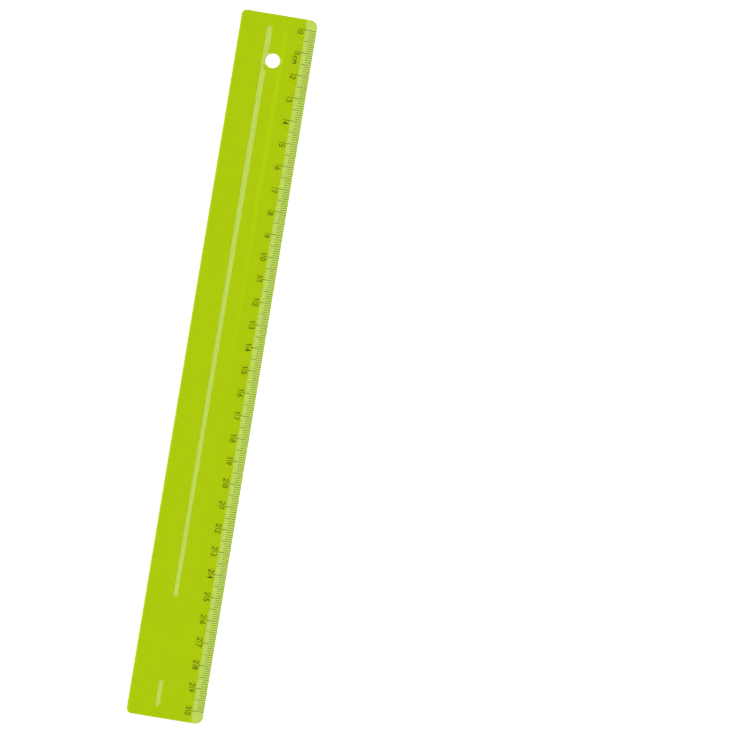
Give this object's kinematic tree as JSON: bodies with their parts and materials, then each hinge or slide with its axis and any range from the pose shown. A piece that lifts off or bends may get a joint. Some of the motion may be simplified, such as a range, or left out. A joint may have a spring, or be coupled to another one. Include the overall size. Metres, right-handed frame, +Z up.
{
  "type": "flat ruler",
  "caption": "Flat tinted clear plastic ruler with a bevelled scale edge, a recessed finger groove, a hanging hole and a printed centimetre scale.",
  "frame": {"origin": "centre of the ruler's outline, on its flat underside", "axes": "+X along the scale from the zero end to the 30 end, +Y across the ruler towards the bevelled scale edge, +Z up out of the printed face"},
  "size_m": [0.31, 0.0334, 0.0024],
  "materials": {
    "tinted_plastic": "polished translucent lime green",
    "black_ink": "printed ink"
  },
  "bodies": {
    "root": {"ruler_body": "tinted_plastic", "centimetre_marks": "black_ink", "half_centimetre_marks": "black_ink", "millimetre_marks": "black_ink", "numerals": "black_ink", "unit_letters": "black_ink"}
  },
  "joints": []
}
